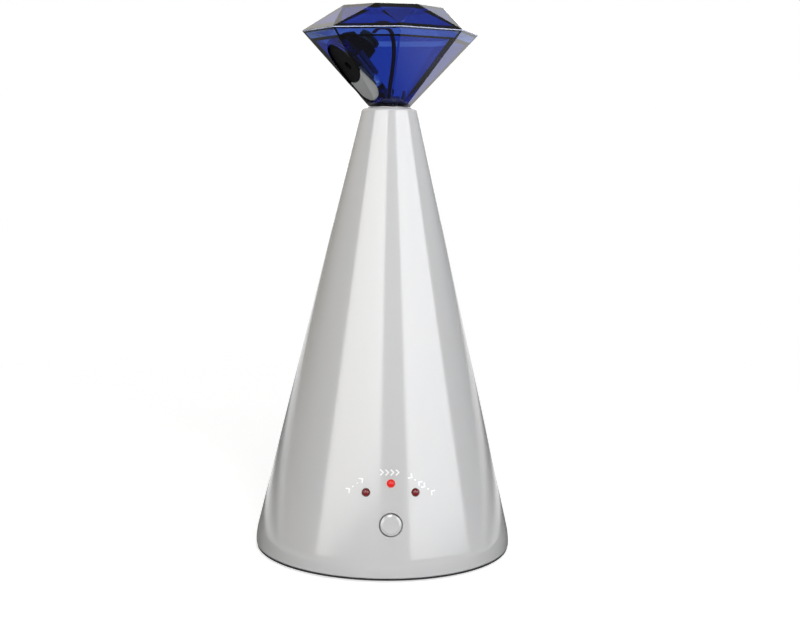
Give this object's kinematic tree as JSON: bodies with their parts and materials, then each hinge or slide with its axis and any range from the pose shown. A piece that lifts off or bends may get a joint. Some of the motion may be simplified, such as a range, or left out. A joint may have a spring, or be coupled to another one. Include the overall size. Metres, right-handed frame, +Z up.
{
  "type": "automatic cat laser toy",
  "caption": "Cone-shaped automatic laser toy for cats: a motor in the cone turns a hollow plastic gem on its tip, and a laser in the gem sweeps a dot round the floor.",
  "frame": {"origin": "centre of the base, level with the undersides of the rubber feet", "axes": "+Z up the cone's axis, -Y towards the button and lamps, +X to the right as seen by someone facing the button"},
  "size_m": [0.1024, 0.1024, 0.2145],
  "materials": {
    "housing_abs": "glossy injection-moulded light grey ABS",
    "button_abs": "satin light grey ABS",
    "base_abs": "dark textured ABS",
    "feet_rubber": "black rubber",
    "screw_steel": "zinc-plated steel",
    "cell_jacket": "plain shrink-wrapped cell",
    "contact_steel": "nickel-plated spring steel",
    "board_laminate": "green solder mask on laminate",
    "black_nylon": "black moulded nylon",
    "white_nylon": "natural nylon",
    "capacitor_sleeve": "dark shrink sleeve",
    "led_dark_red": "unlit red epoxy lens",
    "led_lit_red": "lit red epoxy lens",
    "motor_steel": "drawn nickel-plated steel",
    "white_acetal": "moulded white acetal",
    "brass": "turned brass",
    "gem_blue": "clear royal blue acrylic, moulded and polished",
    "bracket_abs": "light grey ABS",
    "holder_black": "black ABS",
    "lens_clear": "clear acrylic lens",
    "wire_red": "red PVC insulation",
    "wire_blue": "blue PVC insulation"
  },
  "bodies": {
    "base": {"housing": "housing_abs", "base_plate": "base_abs", "base_screws": "screw_steel", "rubber_feet": "feet_rubber", "battery_cell_1": "cell_jacket", "battery_cell_2": "cell_jacket", "battery_cell_3": "cell_jacket", "battery_springs": "contact_steel", "battery_contact_plates": "contact_steel", "control_board": "board_laminate", "board_screws": "screw_steel", "tact_switch": "black_nylon", "led_left": "led_dark_red", "led_middle": "led_lit_red", "led_right": "led_dark_red", "control_chip": "black_nylon", "board_capacitor": "capacitor_sleeve", "board_resistors": "black_nylon", "lead_connectors": "white_nylon", "drive_frame": "black_nylon", "frame_screws": "screw_steel", "motor_gearbox": "brass", "motor_can": "motor_steel", "motor_end_cap": "black_nylon", "motor_screws": "screw_steel", "upper_bush": "brass", "lower_bush": "brass", "brush_block": "black_nylon", "brush_block_screw": "screw_steel", "brush_leaves": "brass", "battery_leads": "wire_red", "motor_leads": "wire_blue", "brush_leads": "wire_blue"},
    "head": {"head_spindle": "white_acetal", "spindle_clip": "screw_steel", "slip_ring_barrel": "black_nylon", "slip_rings": "brass", "output_gear": "white_acetal", "gem_pavilion": "gem_blue", "gem_crown": "gem_blue", "head_screws": "screw_steel", "laser_bracket": "bracket_abs", "laser_holder": "holder_black", "laser_module": "brass", "laser_lens": "lens_clear", "laser_driver_board": "board_laminate", "laser_leads": "wire_red"},
    "motor_drive": {"motor_shaft": "motor_steel", "drive_pinion": "white_acetal"},
    "button": {"button_cap": "button_abs", "switch_plunger": "black_nylon"},
    "battery_door": {"battery_door": "base_abs", "battery_door_screws": "screw_steel"}
  },
  "joints": [
    {"name": "head_spin", "type": "hinge", "parent": "base", "child": "head", "pos_m": [0, 0, 0.15], "axis": [0, 0, 1], "continuous": true},
    {"name": "motor_spin", "type": "hinge", "parent": "base", "child": "motor_drive", "pos_m": [0.014, 0, 0.12], "axis": [0, 0, 1], "continuous": true},
    {"name": "button_press", "type": "slide", "parent": "base", "child": "button", "axis": [0, 0.9728, -0.2317], "range_m": [0, 0.0006], "stiffness_N_per_m": 1200, "springref_m": -0.0003},
    {"name": "battery_door_drop", "type": "slide", "parent": "base", "child": "battery_door", "axis": [0, 0, -1], "range_m": [0, 0.03]}
  ],
  "couplings": [
    {"joint": "motor_spin", "follows": "head_spin", "ratio": -2.5}
  ]
}
